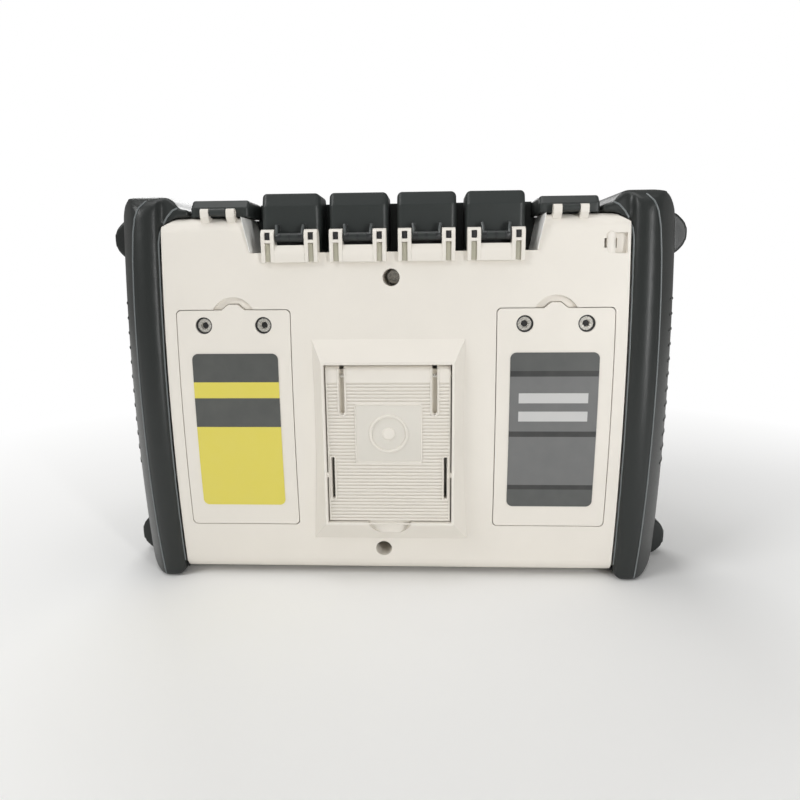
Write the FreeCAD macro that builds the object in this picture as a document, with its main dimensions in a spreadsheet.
import FreeCAD, Part
import math
import os

import Sketcher

# Handheld optical time domain reflectometer, standing upright on its two rubber end bumpers.
# Frame: +X to the left of a person who looks at the back, +Y out of the back, +Z up.
# The origin is under the middle of the instrument, on the plane that it stands on.

SIZES = {
    # envelope
    "overall_width": 253.0,
    "overall_height": 166.2,
    "overall_depth": 73.6,
    # housing halves
    "bezel_height": 5.0,
    "front_guard": 2.0,
    "barrel_radius": 560.0,
    "housing_base": 3.0,
    "cap_rise": 9.2,
    "end_rebate_width": 11.5,
    "end_block_cover": 9.0,
    "end_block_base": 17.0,
    "end_block_drop": 14.0,
    "end_block_back": 18.0,
    "end_block_front": 14.0,
    "parting": -6.0,
    "shell_wall": 2.5,
    "bumper_rebate": 3.0,
    "panel_rounding": 7.0,
    "panel_bevel_width": 6.2,
    "panel_bevel_height": 3.6,
    "seat_gap": 0.2,
    "running_gap": 0.05,
    "part_gap": 0.1,
    "film_gap": 0.05,
    # bumpers
    "bumper_width": 26.6,
    "bumper_rise": 9.0,
    "lip_gap": 1.0,
    "lip_rise": 0.6,
    "lip_step": 1.6,
    "roll_width": 11.7,
    "roll_height": 2.6,
    "roll_radius": 8.3,
    "roll_radius_front": 8.6,
    "seam_drop": 0.3,
    "seam_drop_front": 3.0,
    "shoulder_radius": 52.0,
    "shoulder_radius_front": 40.0,
    "shoulder_drop": 31.8,
    "side_crown_radius": 1000.0,
    "side_crown_level": 72.0,
    "top_corner": 14.0,
    "toe_corner": 13.0,
    "heel_corner": 5.0,
    "top_roll_radius": 9.0,
    "top_roll_run": 6.4,
    "back_top_corner": 10.0,
    "back_low_corner": 3.0,
    "front_corner": 10.0,
    "flange_reach": 11.6,
    "flange_height": 3.6,
    "nub_reach": 5.3,
    "nub_radius": 9.6,
    "nub_back": 2.0,
    "nub_length": 16.0,
    "nub_drop": 7.5,
    "nub_low": 10.0,
    # compartment doors
    "door_margin": 5.2,
    "door_width": 47.1,
    "door_base": 26.2,
    "door_height": 93.5,
    "door_corner": 2.0,
    "door_thickness": 2.2,
    "door_ledge": 3.2,
    "door_gap": 0.3,
    "tab_width": 9.4,
    "tab_tip": 3.7,
    "tab_height": 2.3,
    "scoop_width": 16.7,
    "scoop_height": 4.9,
    "scoop_depth": 1.6,
    "door_screw_pitch": 24.8,
    "door_screw_drop": 6.2,
    "door_boss_radius": 4.7,
    "door_boss_depth": 2.2,
    "door_boss_floor": 1.2,
    "door_shank": 8.0,
    "screw_well_radius": 3.45,
    "screw_head_radius": 2.8,
    "screw_head_height": 2.0,
    "screw_radius": 1.5,
    "screw_slack": 0.2,
    "screw_bite": 8.0,
    "pilot_depth": 10.0,
    "hex_size": 3.0,
    # labels on the doors
    "label_width": 36.0,
    "label_height": 66.5,
    "label_base": 35.4,
    "label_corner": 2.5,
    "label_thickness": 0.25,
    # kickstand and its raised bezel
    "stand_centre": 2.1,
    "stand_width": 52.3,
    "stand_base": 30.0,
    "stand_height": 67.7,
    "bezel_land": 1.1,
    "bezel_run_side": 3.8,
    "bezel_run_top": 7.8,
    "bezel_run_base": 5.6,
    "bezel_root": 5.0,
    "stand_gap": 0.5,
    "stand_recess": 1.5,
    "stand_thickness": 3.0,
    "stand_nose_radius": 2.5,
    "stand_well_depth": 13.0,
    "stand_pin_radius": 1.25,
    "stand_pin_reach": 2.3,
    "stand_knuckle_radius": 2.6,
    "stand_knuckle_width": 11.0,
    "stand_pin_drop": 4.4,
    "stand_rib_pitch": 1.45,
    "stand_rib_height": 0.5,
    "stand_rib_margin": 0.8,
    "stand_plain_strip": 7.0,
    "stand_field_width": 27.5,
    "stand_field_height": 24.5,
    "stand_field_base": 26.0,
    "hinge_slot_offset": 19.1,
    "hinge_slot_width": 1.9,
    "hinge_slot_length": 20.0,
    "latch_slot_offset": 23.6,
    "latch_slot_width": 1.2,
    "latch_slot_length": 18.0,
    "latch_slot_base": 10.0,
    "finger_scoop_width": 19.0,
    "finger_scoop_height": 7.0,
    "finger_scoop_depth": 4.5,
    # screw wells in the middle of the back
    "well_radius": 3.5,
    "well_top_offset": 0.6,
    "well_top_drop": 10.2,
    "well_low_offset": 5.3,
    "well_low_height": 14.5,
    "well_depth": 24.0,
    "tower_wall": 1.8,
    # port recess, caps and their hinges
    "recess_half_width": 58.1,
    "recess_flare": 2.9,
    "recess_drop": 14.4,
    "recess_depth": 29.8,
    "recess_wall": 2.4,
    "port_pitch": 27.6,
    "cap_width": 24.0,
    "cap_inset": 7.4,
    "cap_depth": 19.0,
    "cap_lift": 0.6,
    "cap_bevel": 5.0,
    "cap_nose_bevel": 1.5,
    "cap_rounding": 2.2,
    "cap_wall": 1.6,
    "cap_pin_offset": 3.8,
    "cap_pin_rise": 6.0,
    "cap_pin_radius": 0.9,
    "knuckle_radius": 1.8,
    "web_thickness": 1.8,
    "lug_gap": 12.2,
    "lug_width": 5.3,
    "lug_rise": 9.2,
    "lug_root": 3.9,
    "lug_inset": 1.1,
    "lug_depth": 5.7,
    "lug_gusset": 4.0,
    "lug_window_width": 2.2,
    "lug_window_height": 3.0,
    "lug_slot_height": 7.6,
    "lug_cut_depth": 1.4,
    "apron_rise": 2.9,
    "apron_radius": 9.0,
    "hook_width": 1.2,
    "hook_rise": 11.2,
    "port_panel_thickness": 2.0,
    "port_panel_drop": 2.7,
    "adapter_flange_width": 18.0,
    "adapter_flange_depth": 12.0,
    "adapter_flange_height": 1.6,
    "adapter_sleeve_radius": 4.6,
    "adapter_sleeve_height": 11.0,
    "ferrule_radius": 1.25,
    "ferrule_depth": 12.0,
    # hinged covers over the side connectors
    "cover_margin": 23.6,
    "cover_width": 24.2,
    "cover_inset": 8.2,
    "cover_depth": 21.0,
    "cover_lift": 0.3,
    "cover_rise": 7.0,
    "cover_bevel": 3.0,
    "cover_nose_bevel": 1.0,
    "cover_rounding": 1.5,
    "cover_plug_width": 17.0,
    "cover_plug_inset": 3.2,
    "cover_plug_depth": 14.2,
    "cover_plug_drop": 1.6,
    "cover_pin_offset": 2.0,
    "cover_pin_rise": 1.9,
    "cover_pin_radius": 0.8,
    "cover_knuckle_radius": 1.5,
    "cover_tab_width": 6.8,
    "post_width": 3.4,
    "post_root": 4.2,
    "post_run": 3.0,
    "connector_well_width": 18.0,
    "connector_well_inset": 2.4,
    "connector_well_depth": 16.0,
    "connector_well_drop": 3.0,
    "connector_block_drop": 7.5,
    "connector_proud": 0.6,
    "usb_width": 14.0,
    "usb_depth": 6.6,
    "usb_height": 14.0,
    "usb_wall": 0.5,
    "usb_tongue": 1.8,
    "jack_size": 11.0,
    "jack_height": 13.0,
    "jack_bore_radius": 2.85,
    "jack_bore_depth": 10.0,
    "jack_pin_radius": 1.0,
    # lanyard eyelet
    "eyelet_margin": 10.4,
    "eyelet_drop": 12.0,
    "eyelet_slot_width": 1.0,
    "eyelet_slot_height": 3.7,
    "eyelet_bridge_width": 3.4,
    "eyelet_bridge_thickness": 2.0,
    "eyelet_tunnel": 2.0,
    "eyelet_pocket_width": 4.8,
    "eyelet_pocket_height": 8.0,
    # front side
    "front_rounding": 4.0,
    "lens_margin": 3.6,
    "lens_side_strip": 27.6,
    "lens_base": 46.0,
    "lens_drop": 11.0,
    "lens_thickness": 1.6,
    "lens_corner": 4.0,
    "lens_ledge": 3.0,
    "display_depth": 6.0,
    "display_margin": 1.0,
    "key_proud": 1.2,
    "key_flange": 1.0,
    "key_flange_rim": 1.0,
    "key_gap": 0.25,
    "key_travel": 0.8,
    "key_corner": 2.0,
    "function_key_width": 18.0,
    "function_key_height": 8.5,
    "function_key_pitch": 24.0,
    "function_key_margin": 16.6,
    "function_key_level": 29.0,
    "side_key_width": 15.0,
    "side_key_height": 9.0,
    "side_key_pitch": 16.0,
    "side_key_margin": 14.1,
    "power_key_radius": 5.5,
    "power_key_drop": 24.0,
    "pad_margin": 23.6,
    "pad_level": 27.5,
    "pad_radius": 16.0,
    "pad_inner_radius": 8.0,
    "pad_split": 1.2,
    "pad_flange_gap": 0.15,
    "ok_key_radius": 6.2,
    "lamp_radius": 1.25,
    "lamp_pitch": 6.0,
    "lamp_drop": 11.0,
    "lamp_proud": 0.3,
    "lamp_tail": 1.5,
    # inside
    "board_drop": 8.0,
    "board_thickness": 1.6,
    "board_overlap": 6.4,
    "board_base": 12.0,
    "board_top_drop": 23.0,
    "standoff_radius": 3.5,
    "standoff_overlap": 2.4,
    "standoff_low": 16.0,
    "standoff_drop": 29.0,
    "post_clearance": 0.5,
    "bracket_thickness": 1.2,
    "bracket_margin": 3.0,
    "keypad_thickness": 1.2,
    "keypad_margin": 1.0,
    "keypad_rise": 8.0,
    "seal_width": 1.0,
    "seal_inset": 0.8,
    "seal_depth": 1.2,
    "pack_margin": 4.4,
    "pack_clearance": 0.4,
    "pack_rounding": 3.0,
    "contact_width": 14.0,
    "contact_height": 4.0,
    "contact_depth": 8.0,
    "contact_gap": 0.3,
}

doc = FreeCAD.newDocument("reflectometer")
sheet = doc.addObject("Spreadsheet::Sheet", "Dims")
for row, (alias, number) in enumerate(SIZES.items(), start=1):
    sheet.set("A%d" % row, alias)
    sheet.set("B%d" % row, str(number))
    sheet.setAlias("B%d" % row, alias)
doc.recompute()


class Size:
    """A length that carries its number and the spreadsheet formula that gives it."""

    def __init__(self, value, text):
        self.value = float(value)
        self.text = text

    def __add__(self, other):
        other = as_size(other)
        return Size(self.value + other.value, "(%s + %s)" % (self.text, other.text))

    def __radd__(self, other):
        return as_size(other) + self

    def __sub__(self, other):
        other = as_size(other)
        return Size(self.value - other.value, "(%s - %s)" % (self.text, other.text))

    def __rsub__(self, other):
        return as_size(other) - self

    def __mul__(self, other):
        other = as_size(other)
        return Size(self.value * other.value, "(%s * %s)" % (self.text, other.text))

    def __rmul__(self, other):
        return as_size(other) * self

    def __truediv__(self, other):
        other = as_size(other)
        return Size(self.value / other.value, "(%s / %s)" % (self.text, other.text))

    def __neg__(self):
        return Size(-self.value, "(0 - %s)" % self.text)

    def root(self):
        return Size(math.sqrt(self.value), "sqrt(%s)" % self.text)


def as_size(item):
    if isinstance(item, Size):
        return item
    return Size(item, "%.6f" % item)


class Dims:
    """Each alias of the spreadsheet as a Size."""


for alias in SIZES:
    setattr(Dims, alias, Size(sheet.get(alias), "Dims.%s" % alias))
D = Dims


def bind(item, name, size):
    item.setExpression(name, as_size(size).text)


# ---------------------------------------------------------------- primitives and booleans

def block(label, x, y, z):
    """A box between two coordinates along each axis."""
    box = doc.addObject("Part::Box", label)
    for (low, high), side, axis in zip((x, y, z), ("Length", "Width", "Height"), "xyz"):
        bind(box, side, as_size(high) - low)
        bind(box, "Placement.Base.%s" % axis, low)
    return box


TURNS = {
    "X": (FreeCAD.Rotation(FreeCAD.Vector(0, 1, 0), 90), "yz"),
    "Y": (FreeCAD.Rotation(FreeCAD.Vector(1, 0, 0), -90), "xz"),
    "Z": (FreeCAD.Rotation(), "xy"),
}


def rod(label, axis, radius, low, high, first, second):
    """A cylinder along an axis, between two coordinates, at the other two coordinates."""
    cylinder = doc.addObject("Part::Cylinder", label)
    turn, others = TURNS[axis]
    cylinder.Placement = FreeCAD.Placement(FreeCAD.Vector(), turn)
    bind(cylinder, "Radius", radius)
    bind(cylinder, "Height", as_size(high) - low)
    bind(cylinder, "Placement.Base.%s" % axis.lower(), low)
    bind(cylinder, "Placement.Base.%s" % others[0], first)
    bind(cylinder, "Placement.Base.%s" % others[1], second)
    return cylinder


def fuse(label, shapes):
    result = doc.addObject("Part::MultiFuse", label)
    result.Shapes = shapes
    result.Refine = True
    return result


def common(label, shapes):
    result = doc.addObject("Part::MultiCommon", label)
    result.Shapes = shapes
    result.Refine = True
    return result


def cut(label, base, tools):
    """The base less every tool."""
    tool = tools[0]
    if len(tools) > 1:
        tool = doc.addObject("Part::MultiFuse", label + "_cutter")
        tool.Shapes = tools
    result = doc.addObject("Part::Cut", label)
    result.Base = base
    result.Tool = tool
    result.Refine = True
    return result


def group(label, shapes):
    """Separate solids that share one sub-part."""
    result = doc.addObject("Part::Compound", label)
    result.Links = shapes
    return result


def mirrored(label, source):
    """The same piece on the other side of the middle plane."""
    result = doc.addObject("Part::Mirroring", label)
    result.Source = source
    result.Base = FreeCAD.Vector(0, 0, 0)
    result.Normal = FreeCAD.Vector(1, 0, 0)
    return result


# ---------------------------------------------------------------- sketches and bodies

PLANES = {"X": "YZ_Plane", "Y": "XZ_Plane", "Z": "XY_Plane"}


def new_body(label):
    return doc.addObject("PartDesign::Body", label)


def sketch_at(body, normal, level):
    """A sketch square to an axis, at a coordinate along it. XZ sketches face -Y."""
    sketch = body.newObject("Sketcher::SketchObject", body.Label + "_sketch")
    plane = [item for item in body.Origin.OriginFeatures if item.Role == PLANES[normal]][0]
    sketch.AttachmentSupport = [(plane, "")]
    sketch.MapMode = "FlatFace"
    offset = -as_size(level) if normal == "Y" else level
    bind(sketch, "AttachmentOffset.Base.z", offset)
    return sketch


def hold(sketch, kind, size, *where):
    """Add one dimension to a sketch and tie it to its formula."""
    index = sketch.addConstraint(Sketcher.Constraint(kind, *where, size.value))
    bind(sketch, "Constraints[%d]" % index, size)


def hold_point(sketch, geometry, end, point):
    hold(sketch, "DistanceX", point[0], -1, 1, geometry, end)
    hold(sketch, "DistanceY", point[1], -1, 1, geometry, end)


def arc_between(start, end, radius, side):
    """The short arc from start to end, with its centre on the left (side 1) or right (-1)."""
    chord = end - start
    rise = math.sqrt(max(radius ** 2 - (chord.Length / 2) ** 2, 0.0))
    left = FreeCAD.Vector(-chord.y, chord.x, 0).normalize()
    centre = (start + end) * 0.5 + left * rise * side
    first, last = (start, end) if side > 0 else (end, start)
    turns = [math.atan2(point.y - centre.y, point.x - centre.x) for point in (first, last)]
    circle = Part.Circle(centre, FreeCAD.Vector(0, 0, 1), radius)
    return Part.ArcOfCircle(circle, turns[0], turns[1])


def outline(sketch, corners):
    """A closed outline. A corner (a, b) starts a straight edge, (a, b, radius, side) an arc."""
    corners = [tuple(as_size(part) for part in corner[:3]) + corner[3:] for corner in corners]
    points = [FreeCAD.Vector(corner[0].value, corner[1].value, 0) for corner in corners]
    ends = []
    for index, corner in enumerate(corners):
        start = points[index]
        finish = points[(index + 1) % len(points)]
        if len(corner) == 2:
            geometry = sketch.addGeometry(Part.LineSegment(start, finish), False)
            ends.append((geometry, 1, 2))
            continue
        arc = arc_between(start, finish, corner[2].value, corner[3])
        geometry = sketch.addGeometry(arc, False)
        ends.append((geometry, 1, 2) if corner[3] > 0 else (geometry, 2, 1))
    for index, (geometry, first, last) in enumerate(ends):
        following = ends[(index + 1) % len(ends)]
        joint = Sketcher.Constraint("Coincident", geometry, last, following[0], following[1])
        sketch.addConstraint(joint)
        hold_point(sketch, geometry, first, corners[index])
        if len(corners[index]) > 2:
            hold(sketch, "Radius", corners[index][2], geometry)


def rectangle(sketch, a, b):
    outline(sketch, [(a[0], b[0]), (a[1], b[0]), (a[1], b[1]), (a[0], b[1])])


def rounded_rectangle(sketch, a, b, radius):
    """A rectangle with round corners, from its two pairs of limits."""
    left, right = as_size(a[0]), as_size(a[1])
    low, high = as_size(b[0]), as_size(b[1])
    outline(sketch, [
        (left + radius, low), (right - radius, low, radius, 1),
        (right, low + radius), (right, high - radius, radius, 1),
        (right - radius, high), (left + radius, high, radius, 1),
        (left, high - radius), (left, low + radius, radius, 1),
    ])


def extrude(body, normal, low, high, draw, *arguments, remove=False):
    """Pad or pocket an outline between two coordinates along its normal."""
    sketch = sketch_at(body, normal, high if normal == "Y" else low)
    draw(sketch, *arguments)
    kind = "PartDesign::Pocket" if remove else "PartDesign::Pad"
    feature = body.newObject(kind, body.Label + ("_pocket" if remove else "_pad"))
    feature.Profile = sketch
    bind(feature, "Length", as_size(high) - low)
    feature.Reversed = remove
    sketch.Visibility = False
    return feature


def prism(label, normal, low, high, draw, *arguments):
    """A body of one pad."""
    body = new_body(label)
    extrude(body, normal, low, high, draw, *arguments)
    return body


def round_edges(body, radius, test):
    """A fillet on each edge of the body's last feature whose middle point passes the test."""
    doc.recompute()
    base = body.Tip
    names = []
    for index, edge in enumerate(base.Shape.Edges, start=1):
        middle = edge.valueAt((edge.FirstParameter + edge.LastParameter) / 2)
        if test(middle, edge):
            names.append("Edge%d" % index)
    feature = body.newObject("PartDesign::Fillet", body.Label + "_fillet")
    feature.Base = (base, names)
    bind(feature, "Radius", radius)
    return feature


def runs_along(edge, axis):
    """True for a straight edge parallel to an axis."""
    span = edge.lastVertex().Point - edge.firstVertex().Point
    return edge.Length > 0 and abs(abs(span.dot(axis)) - edge.Length) < 1e-6


ALONG_X = FreeCAD.Vector(1, 0, 0)
ALONG_Z = FreeCAD.Vector(0, 0, 1)


def near(first, second):
    return abs(first - as_size(second).value) < 1e-4


# ---------------------------------------------------------------- shared places

back = D.overall_depth / 2
front = -back
crest = back - D.bezel_height
front_face = front + D.front_guard
side = D.overall_width / 2 - D.nub_reach
panel_half = side - D.bumper_width
housing_half = panel_half + D.end_rebate_width
housing_top = D.overall_height - D.cap_rise
end_reach = side - D.end_block_cover
end_levels = (D.end_block_base, housing_top - D.end_block_drop)
end_hollow_levels = (end_levels[0] + D.shell_wall, end_levels[1] - D.shell_wall)
end_block_rear = D.parting + D.end_block_back
end_block_nose = D.parting - D.end_block_front
middle_height = (D.housing_base + housing_top) / 2
barrel_axis = crest - D.barrel_radius
inner_wall = D.bumper_rebate + D.shell_wall
beyond = as_size(1.0)


def barrel_at(height, inset=0.0):
    """Depth of the barrel-shaped back, or of a surface set in from it, at a height."""
    radius = D.barrel_radius - inset
    rise = as_size(height) - middle_height
    return barrel_axis + (radius * radius - rise * rise).root()


def barrel_block(label, radius_change, low, high):
    """The barrel of the back as a full cylinder, grown or shrunk."""
    radius = D.barrel_radius + radius_change
    return rod(label, "X", radius, low, high, barrel_axis, middle_height)


def side_profile(sketch, depth, base, top, inset):
    """Side view of the case: flat towards the front, barrel-shaped at the back."""
    radius = D.barrel_radius - inset
    outline(sketch, [
        (depth, base),
        (barrel_at(base, inset), base, radius, 1),
        (barrel_at(top, inset), top),
        (depth, top),
    ])


# ---------------------------------------------------------------- rear housing

port_centres = [D.port_pitch * step for step in (1.5, 0.5, -0.5, -1.5)]
cover_centre = panel_half - D.cover_margin
cover_centres = [cover_centre, -cover_centre]
recess_floor = housing_top - D.recess_drop
recess_front = crest - D.recess_depth
recess_half = D.recess_half_width
wells = [(D.well_top_offset, recess_floor - D.well_top_drop),
         (D.well_low_offset, D.well_low_height)]
stand_left = D.stand_centre - D.stand_width / 2
stand_right = D.stand_centre + D.stand_width / 2
stand_top = D.stand_base + D.stand_height
well_floor = back - D.stand_well_depth


def panel_outline(sketch, grow, low):
    """The panel seen from the back: a rectangle with bevelled upper corners."""
    half = panel_half + grow
    foot = housing_top - D.panel_bevel_height
    crown = half - grow - D.panel_bevel_width
    outline(sketch, [
        (-half, low), (half, low), (half, foot), (crown, housing_top + grow),
        (-crown, housing_top + grow), (-half, foot),
    ])


def rear_shell():
    """The moulded shell: a barrel-backed panel on a rebated core, hollow inside."""
    base, top = D.housing_base, housing_top
    core = new_body("rear_core")
    extrude(core, "X", -housing_half, housing_half, side_profile,
            D.parting, base, top, D.bumper_rebate)
    core_rear = barrel_at(top, D.bumper_rebate).value
    round_edges(core, D.panel_rounding,
                lambda point, edge: runs_along(edge, ALONG_X) and point.y > core_rear - 1)
    extrude(core, "X", -end_reach, end_reach, rectangle, (D.parting, end_block_rear), end_levels)
    panel = new_body("rear_panel")
    extrude(panel, "X", -panel_half, panel_half, side_profile, D.parting, base, top, 0.0)
    panel_rear = barrel_at(top).value
    round_edges(panel, D.panel_rounding,
                lambda point, edge: runs_along(edge, ALONG_X) and point.y > panel_rear - 1)
    face = prism("rear_panel_face", "Y", D.parting - beyond, back, panel_outline,
                 as_size(0.0), base - beyond)
    trimmed = common("rear_panel_trimmed", [panel, face])
    hollow = new_body("rear_hollow")
    half = housing_half - D.shell_wall
    extrude(hollow, "X", -half, half, side_profile, D.parting - beyond,
            base + D.shell_wall, top - D.shell_wall, inner_wall)
    outer = end_reach - D.shell_wall
    extrude(hollow, "X", -outer, outer, rectangle,
            (D.parting - beyond, end_block_rear - D.shell_wall), end_hollow_levels)
    return cut("rear_shell", fuse("rear_outside", [core, trimmed]), [hollow])


def recess_outline(sketch, grow):
    """The port recess seen from the back, wider towards its open top."""
    low = recess_half + grow
    high = low + D.recess_flare
    outline(sketch, [
        (-low, recess_floor - grow), (low, recess_floor - grow), (high, housing_top),
        (high, D.overall_height), (-high, D.overall_height), (-high, housing_top),
    ])


def recess_walls():
    """The walls around the port recess, kept inside the outer skin."""
    walls = prism("recess_walls", "Y", recess_front - D.recess_wall, back, recess_outline,
                  D.recess_wall)
    inside = prism("recess_inside", "X", -housing_half, housing_half, side_profile,
                   recess_front - D.recess_wall, D.housing_base, housing_top - beyond,
                   D.panel_rounding)
    return common("recess_walls_trimmed", [walls, inside])


lug_back = crest - D.lug_inset
lug_front = lug_back - D.lug_depth
lug_top = recess_floor + D.lug_rise
lug_base = recess_floor - D.lug_root
apron_top = recess_floor + D.apron_rise
cap_pin_height = recess_floor + D.cap_pin_rise


def lug_profile(sketch):
    """Side view of a cap's hinge lug: upright with a round top and a gusset to the front."""
    crown = D.lug_depth / 2
    toe = lug_front - D.lug_gusset
    outline(sketch, [
        (toe, recess_floor - beyond), (toe, lug_base),
        (lug_back, lug_base), (lug_back, lug_top - crown, crown, 1),
        (lug_back - crown, lug_top, crown, 1), (lug_front, lug_top - crown),
        (lug_front, recess_floor),
    ])


def apron_profile(sketch):
    """Side view of the bowed apron between two lugs."""
    outline(sketch, [
        (lug_front, apron_top), (lug_front, lug_base),
        (lug_back, lug_base, D.apron_radius, 1), (lug_back - D.lug_inset, apron_top),
    ])


def frame_loft():
    """The raised kickstand bezel: a frustum that grows out of the back."""
    body = new_body("bezel_frustum")
    reach = (D.bezel_height + D.bezel_root) / D.bezel_height
    sketches = []
    for level, grow in ((crest - D.bezel_root, reach), (back, as_size(0.0))):
        sketch = sketch_at(body, "Y", level)
        left = stand_left - D.bezel_land - D.bezel_run_side * grow
        right = stand_right + D.bezel_land + D.bezel_run_side * grow
        low = D.stand_base - D.bezel_land - D.bezel_run_base * grow
        high = stand_top + D.bezel_land + D.bezel_run_top * grow
        rectangle(sketch, (left, right), (low, high))
        sketch.Visibility = False
        sketches.append(sketch)
    loft = body.newObject("PartDesign::AdditiveLoft", "bezel_loft")
    loft.Profile = sketches[0]
    loft.Sections = [sketches[1]]
    loft.Ruled = True
    return body


door_inner = panel_half - D.door_margin - D.door_width
door_outer = door_inner + D.door_width
door_top = D.door_base + D.door_height
door_centre = door_inner + D.door_width / 2
door_screw_height = door_top - D.door_screw_drop
door_screw_places = [door_centre - D.door_screw_pitch / 2, door_centre + D.door_screw_pitch / 2]
compartment_top = door_screw_height - D.door_boss_radius - D.door_ledge
door_seat = barrel_at(door_screw_height, D.door_thickness) - D.door_boss_depth
screw_block_front = door_seat - D.pilot_depth


def door_outline(sketch, grow):
    """A door seen from the back: round corners and a tab in the middle of its top edge."""
    left = door_inner - grow
    right = door_outer + grow
    low = D.door_base - grow
    high = door_top + grow
    radius = D.door_corner
    foot = D.tab_width / 2 + grow
    tip = D.tab_tip / 2 + grow
    crown = high + D.tab_height
    outline(sketch, [
        (left + radius, low), (right - radius, low, radius, 1),
        (right, low + radius), (right, high - radius, radius, 1),
        (right - radius, high), (door_centre + foot, high), (door_centre + tip, crown),
        (door_centre - tip, crown), (door_centre - foot, high),
        (left + radius, high, radius, 1), (left, high - radius),
        (left, low + radius, radius, 1),
    ])


def door_pocket():
    """What a door opening takes out of the shell, on the left side."""
    grow = D.door_gap
    face = prism("door_seat_prism", "Y", crest - D.bezel_root * 2, back, door_outline, grow)
    inner = barrel_block("door_seat_barrel", -D.door_thickness - D.seat_gap, 0.0, side)
    seat = cut("door_seat", face, [inner])
    ledge = D.door_ledge
    window = block("door_window", (door_inner + ledge, door_outer - ledge),
                   (screw_block_front, back), (D.door_base + ledge, compartment_top))
    parts = [seat, window]
    for number, place in enumerate(door_screw_places):
        parts.append(rod("door_boss_seat%d" % number, "Y", D.door_boss_radius + grow,
                         door_seat - D.seat_gap, back, place, door_screw_height))
        parts.append(rod("door_pilot%d" % number, "Y", D.screw_radius + D.running_gap,
                         screw_block_front + beyond, crest, place, door_screw_height))
    return fuse("door_pocket", parts)


def door_scoop():
    """The shallow arc-shaped finger scoop over a door's tab."""
    top = door_top + D.door_gap
    half = D.scoop_width / 2
    radius = (half * half + D.scoop_height * D.scoop_height) / (2 * D.scoop_height)
    level = barrel_at(top) - D.scoop_depth
    return rod("door_scoop", "Y", radius, level, back, door_centre,
               top + D.scoop_height - radius)


def screw_block():
    """The thick wall behind a door's screws."""
    high = door_screw_height + D.door_boss_radius + D.door_ledge
    return block("door_screw_block", (door_inner, door_outer),
                 (screw_block_front, barrel_at(high, inner_wall) + beyond),
                 (compartment_top, high))


cover_back = crest - D.cover_inset
cover_pin_depth = cover_back + D.cover_pin_offset
cover_pin_height = housing_top + D.cover_pin_rise
connector_well_back = cover_back - D.connector_well_inset
connector_well_front = connector_well_back - D.connector_well_depth
connector_well_floor = housing_top - D.connector_well_drop
connector_block_base = housing_top - D.connector_block_drop
post_places = [D.cover_tab_width / 2 + D.seat_gap,
               -D.cover_tab_width / 2 - D.seat_gap - D.post_width]


def post_profile(sketch):
    """Side view of a cover's hinge post: a round eye on a root that leans out of the skin."""
    radius = D.cover_knuckle_radius
    rear = cover_pin_depth + radius
    nose = cover_pin_depth - radius
    root = housing_top - D.post_root
    outline(sketch, [
        (nose - D.post_run, root), (nose, root), (rear, root + D.post_root),
        (rear, cover_pin_height, radius, 1), (cover_pin_depth, cover_pin_height + radius, radius, 1),
        (nose, cover_pin_height), (nose, housing_top), (nose - D.post_run, housing_top),
    ])


def connector_walls():
    """The thick walls around the two connector wells and the posts of their covers."""
    parts = []
    for centre in cover_centres:
        half = D.connector_well_width / 2 + D.recess_wall
        parts.append(block("connector_block", (centre - half, centre + half),
                           (connector_well_front - D.recess_wall, connector_well_back + beyond),
                           (connector_block_base, housing_top - beyond)))
        for place in post_places:
            parts.append(prism("cover_post", "X", centre + place,
                               centre + place + D.post_width, post_profile))
    return parts


def screw_towers():
    """The rear housing's towers around the two middle screws."""
    towers = []
    for offset, height in wells:
        towers.append(rod("tower", "Y", D.well_radius + D.tower_wall, D.parting,
                          barrel_at(height, inner_wall) + beyond, offset, height))
    return towers


def rear_openings():
    """Everything that is cut out of the rear shell before the lugs are added."""
    pocket = door_pocket()
    scoop = door_scoop()
    tools = [pocket, mirrored("door_pocket_right", pocket),
             scoop, mirrored("door_scoop_right", scoop)]
    tools.append(prism("recess_cut", "Y", recess_front, back, recess_outline, as_size(0.0)))
    tools.append(block("stand_cut", (stand_left, stand_right), (well_floor, back + beyond),
                       (D.stand_base, stand_top)))
    pin = stand_pin_place()
    reach = D.stand_pin_reach + D.seat_gap
    tools.append(rod("stand_pin_hole", "X", D.stand_pin_radius + D.running_gap / 2,
                     stand_left - reach, stand_right + reach, pin[0], pin[1]))
    scoop_radius = D.finger_scoop_width / 2
    tools.append(rod("finger_scoop", "Y", scoop_radius, back - D.finger_scoop_depth,
                     back + beyond, D.stand_centre,
                     D.stand_base + scoop_radius - D.finger_scoop_height))
    for offset, height in wells:
        tools.append(rod("well_cut", "Y", D.well_radius, crest - D.well_depth, back,
                         offset, height))
        tools.append(rod("well_shank", "Y", D.screw_radius + D.running_gap,
                         D.parting - beyond, crest, offset, height))
    for centre in cover_centres:
        half = D.connector_well_width / 2
        tools.append(block("connector_well", (centre - half, centre + half),
                           (connector_well_front, connector_well_back),
                           (connector_well_floor, housing_top + beyond)))
    tools.append(usb_opening())
    tools.append(jack_opening())
    return tools + eyelet_cuts()


def lug_places(centre):
    """The two X limits of each lug of one cap."""
    inner = D.lug_gap / 2
    return [(centre - inner - D.lug_width, centre - inner),
            (centre + inner, centre + inner + D.lug_width)]


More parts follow.
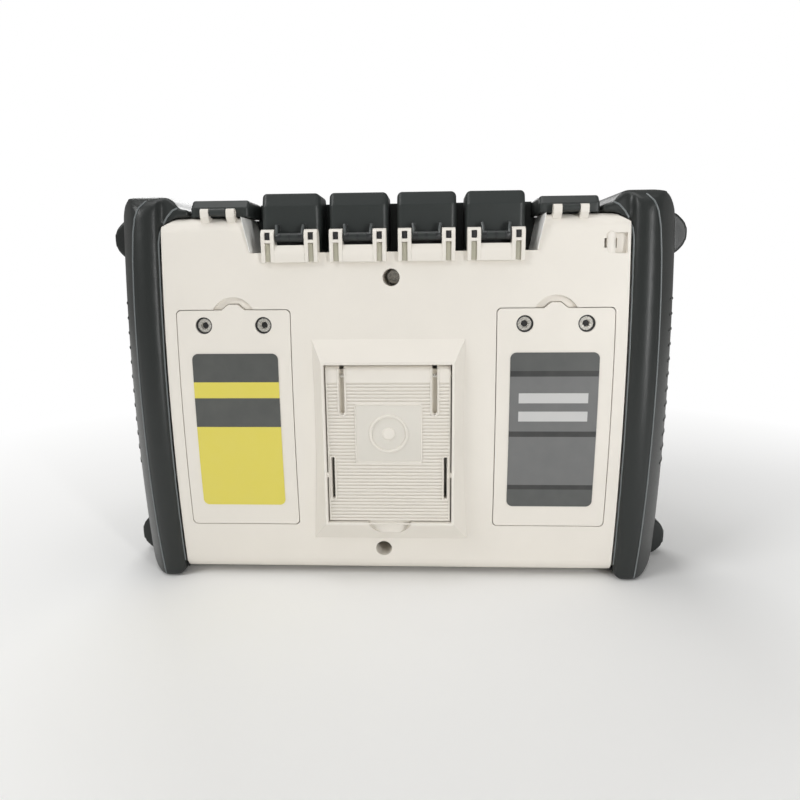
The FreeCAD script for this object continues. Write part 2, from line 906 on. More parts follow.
def hinge_details():
    """Pin holes of caps and covers, and the windows and slots in the lugs' backs."""
    tools = []
    half = D.lug_window_width / 2
    depth = (lug_back - D.lug_cut_depth, back)
    sill = cap_pin_height - D.lug_window_height / 2 + D.part_gap * 4
    slot_top = sill - D.hook_width
    for centre in port_centres:
        (low, _), (_, high) = lug_places(centre)
        tools.append(rod("cap_pin_hole", "X", D.cap_pin_radius + D.running_gap / 2,
                         low - beyond, high + beyond, cap_pin_depth, cap_pin_height))
        for left, right in lug_places(centre):
            place = (left + right) / 2
            tools.append(block("lug_window", (place - half, place + half), depth,
                               (sill, sill + D.lug_window_height)))
            tools.append(block("lug_slot", (place - half, place + half), depth,
                               (slot_top - D.lug_slot_height, slot_top)))
    reach = D.cover_tab_width / 2 + D.post_width + beyond
    for centre in cover_centres:
        tools.append(rod("cover_pin_hole", "X", D.cover_pin_radius + D.running_gap / 2,
                         centre - reach, centre + reach, cover_pin_depth, cover_pin_height))
    return tools


def rear_housing():
    screw_left = screw_block()
    stand_box = block("stand_box",
                      (stand_left - D.bezel_run_side, stand_right + D.bezel_run_side),
                      (well_floor - D.shell_wall, crest - D.bezel_root),
                      (D.stand_base - D.shell_wall, stand_top + D.bezel_run_side))
    additions = [rear_shell(), recess_walls(), frame_loft(), stand_box,
                 screw_left, mirrored("screw_right", screw_left)]
    solid = fuse("rear_solid", additions + screw_towers() + connector_walls())
    hollowed = cut("rear_hollowed", solid, rear_openings())
    hinges = []
    for centre in port_centres:
        for low, high in lug_places(centre):
            hinges.append(prism("lug", "X", low, high, lug_profile))
        hinges.append(prism("apron", "X", centre - D.lug_gap / 2, centre + D.lug_gap / 2,
                            apron_profile))
    joined = fuse("rear_joined", [hollowed] + hinges)
    groove = seal_ring("seal_groove", D.parting - beyond, D.parting + D.seal_depth)
    return cut("rear_housing", joined, hinge_details() + [groove])


def eyelet_cuts():
    """The lanyard eyelet: a slot, a tunnel behind a bridge and the pocket it opens into."""
    start = -panel_half + D.eyelet_margin
    bridge = start - D.eyelet_slot_width
    pocket = bridge - D.eyelet_bridge_width
    level = housing_top - D.eyelet_drop
    surface = barrel_at(level)
    tunnel_back = surface - D.eyelet_bridge_thickness
    tunnel_front = tunnel_back - D.eyelet_tunnel
    slot = D.eyelet_slot_height / 2
    rise = D.eyelet_pocket_height / 2
    return [
        block("eyelet_slot", (bridge, start), (tunnel_front, back), (level - slot, level + slot)),
        block("eyelet_tunnel", (pocket - beyond, start), (tunnel_front, tunnel_back),
              (level - slot, level + slot)),
        block("eyelet_pocket", (pocket - D.eyelet_pocket_width, pocket),
              (tunnel_back, back), (level - rise, level + rise)),
    ]


# ---------------------------------------------------------------- connectors under the covers

well_middle = (connector_well_front + connector_well_back) / 2
connector_top = connector_well_floor + D.connector_proud


def connector_opening(label, centre, half_width, half_depth):
    """The hole in a well's floor that a connector stands in."""
    width = half_width + D.seat_gap
    depth = half_depth + D.seat_gap
    return block(label, (centre - width, centre + width),
                 (well_middle - depth, well_middle + depth),
                 (connector_block_base - beyond, connector_well_floor + beyond))


def usb_opening():
    return connector_opening("usb_opening", cover_centre, D.usb_width / 2, D.usb_depth / 2)


def jack_opening():
    return connector_opening("jack_opening", -cover_centre, D.jack_size / 2, D.jack_size / 2)


def usb_socket():
    """A metal shell open at the top, with the contact tongue along its back wall."""
    width = D.usb_width / 2
    depth = D.usb_depth / 2
    base = connector_top - D.usb_height
    wall = D.usb_wall
    outer = block("usb_outer", (cover_centre - width, cover_centre + width),
                  (well_middle - depth, well_middle + depth), (base, connector_top))
    inner = block("usb_inner", (cover_centre - width + wall, cover_centre + width - wall),
                  (well_middle - depth + wall, well_middle + depth - wall),
                  (base + 2 * wall, connector_top + beyond))
    rear = well_middle + depth - wall
    tongue = block("usb_tongue_block",
                   (cover_centre - width + 2 * wall, cover_centre + width - 2 * wall),
                   (rear - D.usb_tongue, rear), (base + wall, connector_top - beyond))
    return fuse("usb_socket", [cut("usb_shell", outer, [inner]), tongue])


def power_jack():
    """A square jack body with a round bore and a centre pin."""
    half = D.jack_size / 2
    floor = connector_top - D.jack_bore_depth
    body = block("jack_body", (-cover_centre - half, -cover_centre + half),
                 (well_middle - half, well_middle + half),
                 (connector_top - D.jack_height, connector_top))
    bore = rod("jack_bore", "Z", D.jack_bore_radius, floor, connector_top + beyond,
               -cover_centre, well_middle)
    pin = rod("jack_pin", "Z", D.jack_pin_radius, floor - beyond, connector_top - beyond,
              -cover_centre, well_middle)
    return fuse("power_jack", [cut("jack_shell", body, [bore]), pin])


# ---------------------------------------------------------------- doors and labels

screw_seat = door_seat + D.door_boss_floor


def door(label):
    """A door skin that follows the barrel, with two counterbored screw bosses inside."""
    face = prism(label + "_prism", "Y", crest - D.bezel_root * 2, back, door_outline,
                 as_size(0.0))
    outer = barrel_block(label + "_outer", 0.0, 0.0, side)
    inner = barrel_block(label + "_inner", -D.door_thickness, 0.0, side)
    skin = cut(label + "_skin", common(label + "_slab", [face, outer]), [inner])
    bosses = []
    holes = []
    for number, place in enumerate(door_screw_places):
        bosses.append(rod("%s_boss%d" % (label, number), "Y", D.door_boss_radius, door_seat,
                          barrel_at(door_screw_height, D.door_thickness / 2), place,
                          door_screw_height))
        holes.append(rod("%s_well%d" % (label, number), "Y", D.screw_well_radius,
                         screw_seat, back, place, door_screw_height))
        holes.append(rod("%s_hole%d" % (label, number), "Y", D.screw_radius + D.screw_slack,
                         door_seat - beyond, crest, place, door_screw_height))
    return cut(label, fuse(label + "_bossed", [skin] + bosses), holes)


def label_plate(label):
    """A thin stuck-on label that follows the door."""
    left = door_centre - D.label_width / 2
    face = prism(label + "_prism", "Y", crest - D.bezel_root * 2, back, rounded_rectangle,
                 (left, left + D.label_width),
                 (D.label_base, D.label_base + D.label_height), D.label_corner)
    outer = barrel_block(label + "_outer", D.label_thickness, 0.0, side)
    inner = barrel_block(label + "_inner", D.film_gap, 0.0, side)
    return cut(label, common(label + "_slab", [face, outer]), [inner])


def socket_screw(name, place, height, seat, shank):
    """A socket head screw along Y: head, hexagon recess and plain shank."""
    head = rod(name + "_head", "Y", D.screw_head_radius, seat, seat + D.screw_head_height,
               place, height)
    thread = rod(name + "_shank", "Y", D.screw_radius, seat - shank,
                 seat + D.screw_head_height / 4, place, height)
    hexagon = doc.addObject("Part::Prism", name + "_hex")
    hexagon.Polygon = 6
    hexagon.Placement = FreeCAD.Placement(FreeCAD.Vector(), TURNS["Y"][0])
    bind(hexagon, "Circumradius", D.hex_size / math.sqrt(3))
    bind(hexagon, "Height", D.screw_head_height)
    bind(hexagon, "Placement.Base.x", place)
    bind(hexagon, "Placement.Base.y", seat + D.screw_head_height * 0.4)
    bind(hexagon, "Placement.Base.z", height)
    return cut(name, fuse(name + "_blank", [head, thread]), [hexagon])


def door_screws():
    screws = []
    for direction in (1, -1):
        for number, place in enumerate(door_screw_places):
            name = "door_screw_%d%d" % (direction + 1, number)
            screws.append(socket_screw(name, place * direction, door_screw_height,
                                       screw_seat, D.door_shank))
    return group("door_screws", screws)


def housing_screws():
    screws = []
    seat = crest - D.well_depth
    for number, (offset, height) in enumerate(wells):
        screws.append(socket_screw("housing_screw_%d" % number, offset, height, seat,
                                   seat - D.parting + D.screw_bite))
    return group("housing_screws", screws)


# ---------------------------------------------------------------- kickstand

def stand_pin_place():
    """Depth and height of the kickstand's hinge pin."""
    rear = back - D.stand_recess - D.stand_thickness
    return rear - D.seat_gap, stand_top - D.stand_gap - D.stand_pin_drop


def kickstand():
    """A ribbed plate with hinge slots, latch slots and three hinge knuckles behind its top."""
    face = back - D.stand_recess
    rear = face - D.stand_thickness
    left = stand_left + D.stand_gap
    right = stand_right - D.stand_gap
    low = D.stand_base + D.stand_gap
    high = stand_top - D.stand_gap
    body = new_body("stand_plate")
    extrude(body, "Y", rear, face, rectangle, (left, right), (low, high))
    round_edges(body, D.stand_nose_radius,
                lambda point, edge: near(point.y, face) and near(point.z, high))
    pin = stand_pin_place()
    half = D.stand_knuckle_width / 2
    knuckles = []
    for centre in (D.stand_centre, left + half + D.stand_gap, right - half - D.stand_gap):
        knuckles.append(rod("stand_knuckle", "X", D.stand_knuckle_radius,
                            centre - half, centre + half, pin[0], pin[1]))
    plate = fuse("stand_joined", [body] + knuckles)
    tools = [rod("stand_bore", "X", D.stand_pin_radius + D.running_gap, left - beyond,
                 right + beyond, pin[0], pin[1])]
    tools.append(stand_grooves(left, right, low, high, face))
    through = (rear - beyond, face + beyond)
    for direction in (-1, 1):
        place = D.stand_centre + D.hinge_slot_offset * direction
        half = D.hinge_slot_width / 2
        foot = high - D.hinge_slot_length
        tools.append(block("hinge_slot", (place - half, place + half), through,
                           (foot + half, high + beyond)))
        tools.append(rod("hinge_slot_end", "Y", half, *through, place, foot + half))
        place = D.stand_centre + D.latch_slot_offset * direction
        half = D.latch_slot_width / 2
        base = low + D.latch_slot_base
        tools.append(block("latch_slot", (place - half, place + half), through,
                           (base, base + D.latch_slot_length)))
    return cut("kickstand", plate, tools)


def stand_grooves(left, right, low, high, face):
    """Parallel grooves across the plate, left out of the plain field in its middle."""
    pitch = D.stand_rib_pitch
    count = int((high - low - D.stand_plain_strip).value / pitch.value)
    depth = (face - D.stand_rib_height, face + beyond)
    left = left + D.stand_rib_margin
    right = right - D.stand_rib_margin
    field_left = D.stand_centre - D.stand_field_width / 2
    field_right = D.stand_centre + D.stand_field_width / 2
    field_low = low + D.stand_field_base
    field_high = field_low + D.stand_field_height
    strips = []
    for number in range(count):
        base = low + pitch * (number + 0.7)
        level = (base, base + pitch * 0.4)
        if level[1].value < field_low.value or level[0].value > field_high.value:
            strips.append(block("stand_groove", (left, right), depth, level))
            continue
        strips.append(block("stand_groove", (left, field_left), depth, level))
        strips.append(block("stand_groove", (field_right, right), depth, level))
    return group("stand_grooves", strips)


def kickstand_pin():
    pin = stand_pin_place()
    return rod("kickstand_pin", "X", D.stand_pin_radius, stand_left - D.stand_pin_reach,
               stand_right + D.stand_pin_reach, pin[0], pin[1])


# ---------------------------------------------------------------- port caps and adapters

cap_back = crest - D.cap_inset
cap_nose = cap_back - D.cap_depth
cap_base = recess_floor + D.cap_lift
cap_top = D.overall_height
cap_pin_depth = cap_back + D.cap_pin_offset


def cap_profile(sketch):
    """Side view of a port cap: upright back, bevelled top edges."""
    bevel = D.cap_bevel
    tip = D.cap_nose_bevel
    outline(sketch, [
        (cap_nose, cap_base), (cap_back, cap_base), (cap_back, cap_top - bevel),
        (cap_back - bevel * 0.4, cap_top), (cap_nose + tip, cap_top), (cap_nose, cap_top - tip),
    ])


def port_cap(label, centre):
    """A hollow cap over one optical port, with its hinge knuckle and two hooks behind."""
    half = D.cap_width / 2
    body = new_body(label + "_shell")
    extrude(body, "X", centre - half, centre + half, cap_profile)
    round_edges(body, D.cap_rounding,
                lambda point, edge: near(abs(point.x - centre.value), half)
                and point.z > cap_base.value + 1 and not runs_along(edge, ALONG_X))
    wall = D.cap_wall
    extrude(body, "Z", cap_base - beyond, cap_top - D.cap_bevel - wall / 4, rectangle,
            (centre - half + wall, centre + half - wall), (cap_nose + wall, cap_back - wall),
            remove=True)
    reach = D.lug_gap / 2 - D.seat_gap
    knuckle = rod(label + "_knuckle", "X", D.knuckle_radius, centre - reach, centre + reach,
                  cap_pin_depth, cap_pin_height)
    rise = D.web_thickness / 2
    root = cap_back - D.cap_wall / 3
    web = block(label + "_web", (centre - reach, centre + reach), (root, cap_pin_depth),
                (cap_pin_height - rise, cap_pin_height + rise))
    hooks = []
    for low in (centre - reach, centre + reach - D.hook_width):
        hooks.append(block(label + "_hook", (low, low + D.hook_width),
                           (root, cap_pin_depth - rise),
                           (cap_pin_height, recess_floor + D.hook_rise)))
    whole = fuse(label + "_joined", [body, knuckle, web] + hooks)
    bore = rod(label + "_bore", "X", D.cap_pin_radius + D.running_gap, centre - reach - beyond,
               centre + reach + beyond, cap_pin_depth, cap_pin_height)
    return cut(label, whole, [bore])


def port_cap_pins():
    pins = []
    reach = D.lug_gap / 2 + D.lug_width - D.seat_gap
    for centre in port_centres:
        pins.append(rod("cap_pin", "X", D.cap_pin_radius, centre - reach, centre + reach,
                        cap_pin_depth, cap_pin_height))
    return group("port_cap_pins", pins)


adapter_depth = cap_back - D.cap_depth / 2


def optical_adapters():
    """Round-sleeved adapters standing on the recess floor, each with a ferrule bore."""
    adapters = []
    half = D.adapter_flange_width / 2
    deep = D.adapter_flange_depth / 2
    top = recess_floor + D.adapter_flange_height + D.adapter_sleeve_height
    for number, centre in enumerate(port_centres, start=1):
        flange = block("adapter_flange", (centre - half, centre + half),
                       (adapter_depth - deep, adapter_depth + deep),
                       (recess_floor, recess_floor + D.adapter_flange_height))
        sleeve = rod("adapter_sleeve", "Z", D.adapter_sleeve_radius, recess_floor, top,
                     centre, adapter_depth)
        bore = rod("adapter_bore", "Z", D.ferrule_radius, top - D.ferrule_depth, top + beyond,
                   centre, adapter_depth)
        blank = fuse("adapter_blank_%d" % number, [flange, sleeve])
        adapters.append(cut("adapter_%d" % number, blank, [bore]))
    return group("optical_adapters", adapters)


def port_panel_outline(sketch):
    """The panel behind the caps: as wide as the flared recess, then narrower between the covers."""
    low = recess_half - D.seat_gap
    high = low + D.recess_flare
    neck = cover_centre - D.cover_width / 2 - D.seat_gap
    crown = D.overall_height - D.port_panel_drop
    outline(sketch, [
        (-low, recess_floor), (low, recess_floor), (high, housing_top), (neck, housing_top),
        (neck, crown), (-neck, crown), (-neck, housing_top), (-high, housing_top),
    ])


def port_panel():
    """The dark upright panel behind the caps."""
    return prism("port_panel", "Y", recess_front, recess_front + D.port_panel_thickness,
                 port_panel_outline)


# ---------------------------------------------------------------- side connector covers

cover_base = housing_top + D.cover_lift
cover_top = housing_top + D.cover_rise


def cover_profile(sketch):
    """Side view of a flat cover with bevelled top edges."""
    nose = cover_back - D.cover_depth
    bevel = D.cover_bevel
    tip = D.cover_nose_bevel
    outline(sketch, [
        (nose, cover_base), (cover_back, cover_base), (cover_back, cover_top - bevel),
        (cover_back - bevel, cover_top), (nose + tip, cover_top), (nose, cover_top - tip),
    ])


def hinged_cover(label, centre):
    """A flat cover with a plug below it and a hinge tab in the middle of its back edge."""
    half = D.cover_width / 2
    body = new_body(label + "_lid")
    extrude(body, "X", centre - half, centre + half, cover_profile)
    round_edges(body, D.cover_rounding,
                lambda point, edge: near(abs(point.x - centre.value), half)
                and point.z > cover_base.value + 1)
    plug_half = D.cover_plug_width / 2
    plug_back = cover_back - D.cover_plug_inset
    plug = block(label + "_plug", (centre - plug_half, centre + plug_half),
                 (plug_back - D.cover_plug_depth, plug_back),
                 (housing_top - D.cover_plug_drop, cover_base + beyond))
    reach = D.cover_tab_width / 2
    radius = D.cover_knuckle_radius
    knuckle = rod(label + "_knuckle", "X", radius, centre - reach, centre + reach,
                  cover_pin_depth, cover_pin_height)
    web = block(label + "_web", (centre - reach, centre + reach),
                (cover_back - beyond, cover_pin_depth),
                (cover_pin_height - radius / 4, cover_pin_height + radius))
    whole = fuse(label + "_joined", [body, plug, knuckle, web])
    bore = rod(label + "_bore", "X", D.cover_pin_radius + D.running_gap,
               centre - reach - beyond, centre + reach + beyond, cover_pin_depth,
               cover_pin_height)
    return cut(label, whole, [bore])


def cover_pins():
    reach = D.cover_tab_width / 2 + D.post_width
    pins = []
    for centre in cover_centres:
        pins.append(rod("cover_pin", "X", D.cover_pin_radius, centre - reach, centre + reach,
                        cover_pin_depth, cover_pin_height))
    return group("cover_pins", pins)


# ---------------------------------------------------------------- rubber bumpers

lip = panel_half + D.lip_gap
seam = lip + D.roll_width
bumper_top = housing_top + D.bumper_rise
bumper_base = as_size(0.0)
flange_edge = lip - D.flange_reach
past_back = back + D.bezel_height


def side_at(height):
    """Half width of the bumpers' crowned side at a height."""
    radius = D.side_crown_radius
    rise = as_size(height) - D.side_crown_level
    return side - radius + (radius * radius - rise * rise).root()


def roll_section(sketch):
    """The roll seen from above, as distances from the barrel's axis."""
    deep = D.barrel_radius - (crest - front) - D.bezel_height
    surface = D.barrel_radius
    outline(sketch, [
        (flange_edge - beyond, deep), (side + beyond, deep),
        (side, surface - D.shoulder_drop, D.shoulder_radius, 1),
        (seam, surface - D.seam_drop, D.roll_radius, 1),
        (lip, surface + D.lip_rise), (lip, surface - D.lip_step),
        (flange_edge - beyond, surface - D.lip_step),
    ])


def roll_revolved():
    """The bumper's back: the roll's section turned about the barrel's axis."""
    body = new_body("bumper_roll")
    sketch = sketch_at(body, "Z", middle_height)
    bind(sketch, "AttachmentOffset.Base.y", barrel_axis)
    roll_section(sketch)
    sketch.Visibility = False
    feature = body.newObject("PartDesign::Revolution", "bumper_revolution")
    feature.Profile = sketch
    feature.ReferenceAxis = (sketch, ["H_Axis"])
    feature.Angle = 24.0
    feature.Midplane = True
    return body


def bumper_front(sketch):
    """The bumper seen from above: open at the back, a flatter roll at the front."""
    nose = front_face - D.lip_rise
    outline(sketch, [
        (flange_edge - beyond, past_back), (flange_edge - beyond, front_face + D.lip_step),
        (lip, front_face + D.lip_step), (lip, nose, D.roll_radius_front, 1),
        (seam, front + D.seam_drop_front, D.shoulder_radius_front, 1),
        (side + beyond, front + D.shoulder_drop), (side + beyond, past_back),
    ])


def bumper_rear_view(sketch):
    """The bumper seen from the back: sole, crowned side, round corners and top flange."""
    heel, toe, corner = D.heel_corner, D.toe_corner, D.top_corner
    foot = bumper_base + toe
    shoulder = bumper_top - corner
    roll_end = flange_edge + D.lip_gap * 4 + D.top_roll_run
    flange_top = housing_top + D.flange_height
    outline(sketch, [
        (lip, bumper_base + heel, heel, 1), (lip + heel, bumper_base),
        (side_at(foot) - toe, bumper_base, toe, 1),
        (side_at(foot), foot, D.side_crown_radius, 1),
        (side_at(shoulder), shoulder, corner, 1),
        (side_at(shoulder) - corner, bumper_top),
        (roll_end, bumper_top, D.top_roll_radius, 1),
        (roll_end - D.top_roll_run, flange_top), (flange_edge, flange_top),
        (flange_edge, end_levels[1]), (lip, end_levels[1]),
    ])


def bumper_side_view(sketch):
    """The bumper seen from its end: round corners, and open behind the roll's crest."""
    low, high = D.back_low_corner, D.back_top_corner
    corner = D.front_corner
    rear_low = barrel_at(bumper_base, -D.roll_height)
    rear_high = barrel_at(bumper_top - high, -D.roll_height) - D.part_gap
    slope = past_back - rear_high
    outline(sketch, [
        (front + corner, bumper_base), (rear_low - low, bumper_base, low, 1),
        (rear_low, bumper_base + low), (past_back, bumper_base + low + slope * 3),
        (past_back, bumper_top - high - slope * 3),
        (rear_high, bumper_top - high, high, 1), (rear_high - high, bumper_top),
        (front + corner, bumper_top, corner, 1),
        (front, bumper_top - corner), (front, bumper_base + corner, corner, 1),
    ])


def bumper_left():
    """An end bumper: a roll that follows the barrel, trimmed to its views and hollowed."""
    from_above = prism("bumper_from_above", "Z", bumper_base - beyond, bumper_top + beyond,
                       bumper_front)
    from_back = prism("bumper_from_back", "Y", front - beyond, past_back, bumper_rear_view)
    from_end = prism("bumper_from_end", "X", flange_edge - beyond, side + beyond,
                     bumper_side_view)
    solid = common("bumper_trimmed", [roll_revolved(), from_above, from_back, from_end])
    nubs = []
    for height in (D.nub_low, housing_top - D.nub_drop):
        nubs.append(rod("bumper_nub", "Y", D.nub_radius, D.nub_back - D.nub_length,
                        D.nub_back, side + D.nub_reach - D.nub_radius, height))
    gap = D.seat_gap
    core = prism("bumper_core", "X", flange_edge - lip, housing_half + gap, case_envelope, gap)
    end = block("bumper_end_core", (flange_edge, end_reach + gap),
                (end_block_nose - gap, end_block_rear + gap),
                (end_levels[0] - gap, end_levels[1] + gap))
    panel = prism("bumper_panel_clearance", "Y", front - beyond, past_back, panel_outline,
                  gap, bumper_base - beyond)
    sole = block("bumper_sole", (flange_edge, side + D.nub_reach + beyond), (front, past_back),
                 (bumper_base - D.nub_radius, bumper_base))
    return cut("bumper_left", fuse("bumper_solid", [solid] + nubs), [core, panel, end, sole])


def case_envelope(sketch, gap):
    """Side view of the rebated case ends, grown by a gap at the back and the front."""
    inset = D.bumper_rebate - gap
    radius = D.barrel_radius - inset
    low, high = D.housing_base - gap, housing_top + gap
    nose = front_face + inset
    outline(sketch, [
        (nose, low), (barrel_at(low, inset), low, radius, 1),
        (barrel_at(high, inset), high), (nose, high),
    ])


# ---------------------------------------------------------------- front housing

pad_centre = panel_half - D.pad_margin
side_key_column = panel_half - D.side_key_margin
power_key_level = housing_top - D.power_key_drop
lamp_level = housing_top - D.lamp_drop
lens_left = D.lens_margin - panel_half
lens_right = panel_half - D.lens_side_strip
lens_top = housing_top - D.lens_drop
front_inside = front_face + D.shell_wall
front_cut = (front_face - beyond, front_inside + beyond)


def key_places():
    """Every key as name, shape, centre and size."""
    places = []
    for number in range(5):
        places.append(("function_key_%d" % (number + 1), "oblong",
                       D.function_key_margin - panel_half + D.function_key_pitch * number,
                       D.function_key_level, D.function_key_width, D.function_key_height))
    pad_crown = D.pad_level + D.pad_radius
    middle = (pad_crown + power_key_level - D.power_key_radius) / 2
    for number in range(4):
        places.append(("side_key_%d" % (number + 1), "oblong", side_key_column,
                       middle + D.side_key_pitch * (number - 1.5),
                       D.side_key_width, D.side_key_height))
    places.append(("power_key", "round", side_key_column, power_key_level,
                   D.power_key_radius, None))
    places.append(("ok_key", "round", pad_centre, D.pad_level, D.ok_key_radius, None))
    for number, name in enumerate(("right", "up", "left", "down")):
        places.append(("arrow_key_%s" % name, "arrow", pad_centre, D.pad_level, number, None))
    return places


KEYS = key_places()
lamp_places = [side_key_column + D.lamp_pitch * step for step in (-1, 0, 1)]


def arrow_outline(sketch, number, grow):
    """A quarter of the ring round the middle key, cut square at its two ends."""
    outer = D.pad_radius + grow
    inner = D.pad_inner_radius - grow
    half = D.pad_split / 2 - grow
    root = Size(math.sqrt(0.5), "sqrt(0.5)")
    outer_long = (outer * outer - half * half).root()
    inner_long = (inner * inner - half * half).root()
    corners = [
        ((inner_long + half) * root, (half - inner_long) * root),
        ((outer_long + half) * root, (half - outer_long) * root, outer, 1),
        ((outer_long + half) * root, (outer_long - half) * root),
        ((inner_long + half) * root, (inner_long - half) * root, inner, -1),
    ]
    turned = []
    for corner in corners:
        a, b = corner[0], corner[1]
        for _ in range(number):
            a, b = -b, a
        turned.append((pad_centre + a, D.pad_level + b) + corner[2:])
    outline(sketch, turned)


def key_solid(label, kind, a, b, first, second, grow, depth):
    """A key's stem or opening, grown outwards, between two depths."""
    if kind == "round":
        return rod(label, "Y", first + grow, depth[0], depth[1], a, b)
    if kind == "oblong":
        return prism(label, "Y", depth[0], depth[1], rounded_rectangle,
                     (a - first / 2 - grow, a + first / 2 + grow),
                     (b - second / 2 - grow, b + second / 2 + grow), D.key_corner + grow)
    return prism(label, "Y", depth[0], depth[1], arrow_outline, first, as_size(grow))


def front_housing():
    body = new_body("front_shell")
    base, top = D.housing_base, housing_top
    rebated = front_face + D.bumper_rebate
    extrude(body, "Y", rebated, D.parting, rectangle, (-housing_half, housing_half), (base, top))
    extrude(body, "Y", front_face, rebated, panel_outline, as_size(0.0), base)
    round_edges(body, D.front_rounding,
                lambda point, edge: runs_along(edge, ALONG_X) and near(point.y, front_face))
    extrude(body, "X", -end_reach, end_reach, rectangle, (end_block_nose, D.parting), end_levels)
    hollow_end(body, (end_block_nose + D.shell_wall, D.parting + beyond))
    wall = D.shell_wall
    extrude(body, "Y", front_inside, D.parting + beyond, rectangle,
            (-panel_half + wall, panel_half - wall), (base + wall, top - wall), remove=True)
    extrude(body, "Y", rebated + wall, D.parting + beyond, rectangle,
            (-housing_half + wall, housing_half - wall), (base + wall, top - wall), remove=True)
    ledge = D.lens_ledge
    extrude(body, "Y", front_face - beyond, front_face + D.lens_thickness, rounded_rectangle,
            (lens_left, lens_right), (D.lens_base, lens_top), D.lens_corner, remove=True)
    extrude(body, "Y", *front_cut, rectangle, (lens_left + ledge, lens_right - ledge),
            (D.lens_base + ledge, lens_top - ledge), remove=True)
    holes = []
    for name, *shape in KEYS:
        holes.append(key_solid(name + "_hole", *shape, D.key_gap, front_cut))
    for place in lamp_places:
        holes.append(rod("lamp_hole", "Y", D.lamp_radius + D.part_gap, *front_cut, place,
                         lamp_level))
    bosses = []
    for offset in (-standoff_offset, standoff_offset):
        for height in (D.standoff_low, housing_top - D.standoff_drop):
            bosses.append(rod("standoff", "Y", D.standoff_radius, rebated + wall / 2,
                              board_front, offset, height))
    offset, height = wells[1]
    bosses.append(screw_post("screw_post", front_face + wall / 2, offset, height))
    whole = fuse("front_joined", [body] + bosses)
    return cut("front_housing", whole, holes + [screw_pilot("screw_pilot", offset, height)])


def hollow_end(body, depth):
    """Hollow the two end blocks of the front housing."""
    outer = end_reach - D.shell_wall
    extrude(body, "X", housing_half, outer, rectangle, depth, end_hollow_levels, remove=True)
    extrude(body, "X", -outer, -housing_half, rectangle, depth, end_hollow_levels, remove=True)


def screw_post(label, low, offset, height):
    """The post that meets a screw tower of the rear housing at the parting plane."""
    return rod(label, "Y", D.well_radius + D.tower_wall, low, D.parting, offset, height)


def screw_pilot(label, offset, height):
    return rod(label, "Y", D.screw_radius + D.running_gap, D.parting - D.pilot_depth,
               D.parting + beyond, offset, height)


key_seat = front_inside + D.part_gap


def key(label, kind, a, b, first, second):
    """A key cap with a retaining flange behind the housing wall."""
    stem = key_solid(label + "_stem", kind, a, b, first, second, as_size(0.0),
                     (front_face - D.key_proud, key_seat + D.key_flange / 2))
    rim = D.pad_split / 2 - D.pad_flange_gap if kind == "arrow" else D.key_flange_rim
    flange = key_solid(label + "_flange", kind, a, b, first, second, rim,
                       (key_seat, key_seat + D.key_flange))
    return fuse(label, [stem, flange])


def ring(sketch, half_width, low, high, width):
    rectangle(sketch, (-half_width, half_width), (low, high))
    rectangle(sketch, (-half_width + width, half_width - width), (low + width, high - width))


def seal_ring(label, low, high):
    """The seal between the two housings, a closed rectangular ring."""
    inset = D.seal_inset
    return prism(label, "Y", low, high, ring, housing_half - inset, D.housing_base + inset,
                 housing_top - inset, D.seal_width)


def screen_lens():
    gap = D.seat_gap
    return prism("screen_lens", "Y", front_face, front_face + D.lens_thickness - D.film_gap,
                 rounded_rectangle, (lens_left + gap, lens_right - gap),
                 (D.lens_base + gap, lens_top - gap), D.lens_corner - gap)


display_front = front_inside + D.seat_gap
display_rear = display_front + D.display_depth


def display_module():
    edge = D.display_margin
    return block("display_module", (lens_left + edge, lens_right - edge),
                 (display_front, display_rear), (D.lens_base + edge, lens_top - edge))


mat_front = key_seat + D.key_flange + D.key_gap + D.key_travel
mat_rear = mat_front + D.keypad_thickness


def keypad_sheet(label, low, high):
    """An L-shaped sheet behind all the keys, with a hole for the lower screw post."""
    rim = panel_half - D.shell_wall - D.keypad_margin
    base = D.housing_base + D.shell_wall + D.keypad_margin
    corner = lens_right + D.keypad_margin * 0.6
    crown = power_key_level + D.keypad_rise
    inner = D.lens_base - D.keypad_margin
    body = prism(label + "_sheet", "Y", low, high, outline, [
        (-rim, base), (rim, base), (rim, crown), (corner, crown), (corner, inner), (-rim, inner),
    ])
    return cut(label, body, [post_hole(label + "_post_hole", low, high, wells[1])])


def post_hole(label, low, high, well):
    """The hole that lets a screw post through a sheet."""
    return rod(label, "Y", D.well_radius + D.tower_wall + D.post_clearance, low - beyond,
               high + beyond, *well)


def keypad_mat():
    return keypad_sheet("keypad_mat", mat_front, mat_rear)


def keypad_board():
    return keypad_sheet("keypad_board", mat_rear, mat_rear + D.keypad_thickness)


def status_lamps():
    lamps = []
    for number, place in enumerate(lamp_places):
        lamps.append(rod("lamp_%d" % number, "Y", D.lamp_radius, front_face - D.lamp_proud,
                         front_inside + D.lamp_tail, place, lamp_level))
    return group("status_lamps", lamps)


# ---------------------------------------------------------------- inside

board_front = D.parting - D.board_drop
board_rear = board_front + D.board_thickness
standoff_offset = panel_half + D.standoff_overlap


def display_bracket():
    """A plate behind the display with the post for the upper middle screw."""
    low = display_rear + D.seat_gap
    edge = D.bracket_margin
    plate = block("bracket_plate", (lens_left + edge, lens_right - edge),
                  (low, low + D.bracket_thickness), (D.lens_base + edge, lens_top - edge))
    offset, height = wells[0]
    whole = fuse("bracket_joined", [plate, screw_post("bracket_post", low, offset, height)])
    return cut("display_bracket", whole, [screw_pilot("bracket_pilot", offset, height)])


def main_board():
    reach = panel_half + D.board_overlap
    sheet_block = block("main_board_sheet", (-reach, reach), (board_front, board_rear),
                        (D.board_base, housing_top - D.board_top_drop))
    holes = [post_hole("board_post_hole", board_front, board_rear, well) for well in wells]
    return cut("main_board", sheet_block, holes)


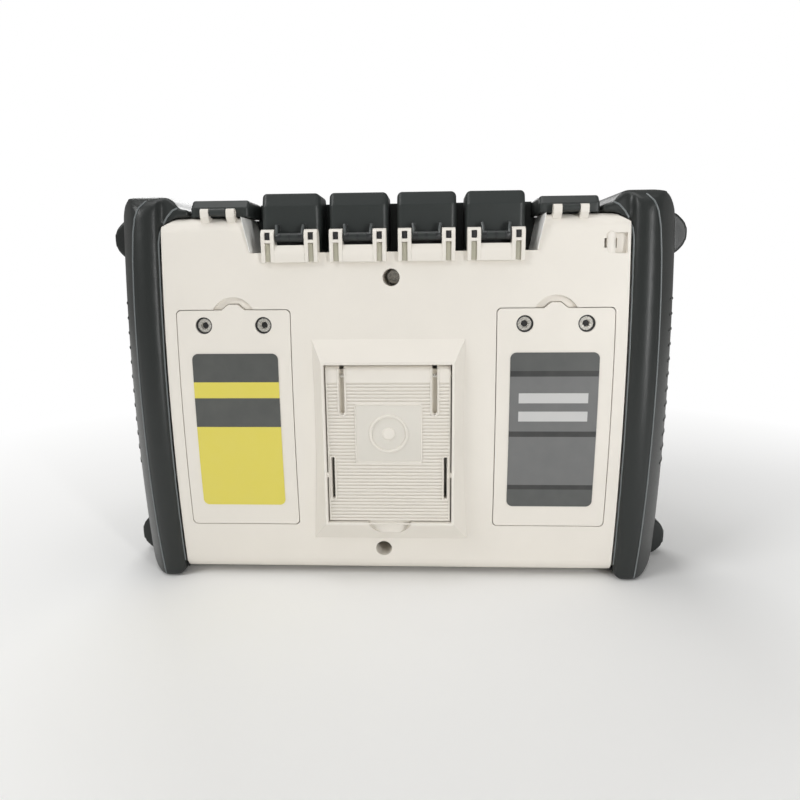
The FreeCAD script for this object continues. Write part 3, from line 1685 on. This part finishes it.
def pack(label, direction):
    """A block that fills a compartment from the board to just under its door."""
    margin = D.pack_margin
    low, high = door_inner + margin, door_outer - margin
    limits = (low, high) if direction > 0 else (-high, -low)
    body = new_body(label + "_block")
    rear = barrel_at(D.door_base, D.door_thickness) - D.pack_clearance * 2.5
    extrude(body, "Y", board_rear + D.pack_clearance, rear, rectangle, limits,
            (D.door_base + margin, compartment_top - D.pack_clearance * 2.5))
    round_edges(body, D.pack_rounding, lambda point, edge: runs_along(edge, ALONG_Z))
    return body


def battery_contacts():
    top = D.door_base + D.pack_margin - D.contact_gap
    half = D.contact_width / 2
    return block("battery_contacts", (door_centre - half, door_centre + half),
                 (board_rear, board_rear + D.contact_depth), (top - D.contact_height, top))


# ---------------------------------------------------------------- build, check and write

NODES = {}


def keep(name, shape_object):
    shape_object.Label = name
    NODES[name] = shape_object


keep("rear_housing", rear_housing())
keep("front_housing", front_housing())
bumper = bumper_left()
keep("bumper_left", bumper)
keep("bumper_right", mirrored("bumper_right", bumper))
left_door = door("battery_door")
keep("battery_door", left_door)
keep("module_door", mirrored("module_door", left_door))
left_label = label_plate("battery_label")
keep("battery_label", left_label)
keep("module_label", mirrored("module_label", left_label))
keep("door_screws", door_screws())
keep("housing_screws", housing_screws())
keep("kickstand", kickstand())
keep("kickstand_pin", kickstand_pin())
for port, centre in enumerate(port_centres, start=1):
    keep("port_cap_%d" % port, port_cap("port_cap_%d" % port, centre))
keep("port_cap_pins", port_cap_pins())
keep("port_panel", port_panel())
keep("optical_adapters", optical_adapters())
keep("usb_cover", hinged_cover("usb_cover", cover_centre))
keep("power_cover", hinged_cover("power_cover", -cover_centre))
keep("cover_pins", cover_pins())
keep("usb_socket", usb_socket())
keep("power_jack", power_jack())
for place in KEYS:
    keep(place[0], key(*place))
keep("screen_lens", screen_lens())
keep("display_module", display_module())
keep("display_bracket", display_bracket())
keep("keypad_mat", keypad_mat())
keep("keypad_board", keypad_board())
keep("status_lamps", status_lamps())
keep("case_seal", seal_ring("case_seal", D.parting, D.parting + D.seal_depth - D.film_gap))
keep("main_board", main_board())
keep("battery_pack", pack("battery_pack", 1))
keep("battery_contacts", battery_contacts())
keep("optical_module", pack("optical_module", -1))
doc.recompute()

problems = []
for item in doc.Objects:
    if "Invalid" in item.State or "Error" in item.State:
        problems.append("%s: %s" % (item.Label, item.State))
for name, item in NODES.items():
    if item.Shape.isNull() or not item.Shape.isValid() or not item.Shape.Solids:
        problems.append("%s: bad shape" % name)
if problems:
    raise SystemExit("\n".join(problems))

os.makedirs("parts", exist_ok=True)
for name, item in NODES.items():
    item.Shape.exportStep("parts/%s.step" % name)
    solids = item.Shape.Solids
    box = item.Shape.BoundBox
    print("%-18s %2d solids %9.0f mm3  x %6.1f %6.1f  y %6.1f %6.1f  z %6.1f %6.1f"
          % (name, len(solids), item.Shape.Volume, box.XMin, box.XMax, box.YMin, box.YMax,
             box.ZMin, box.ZMax))
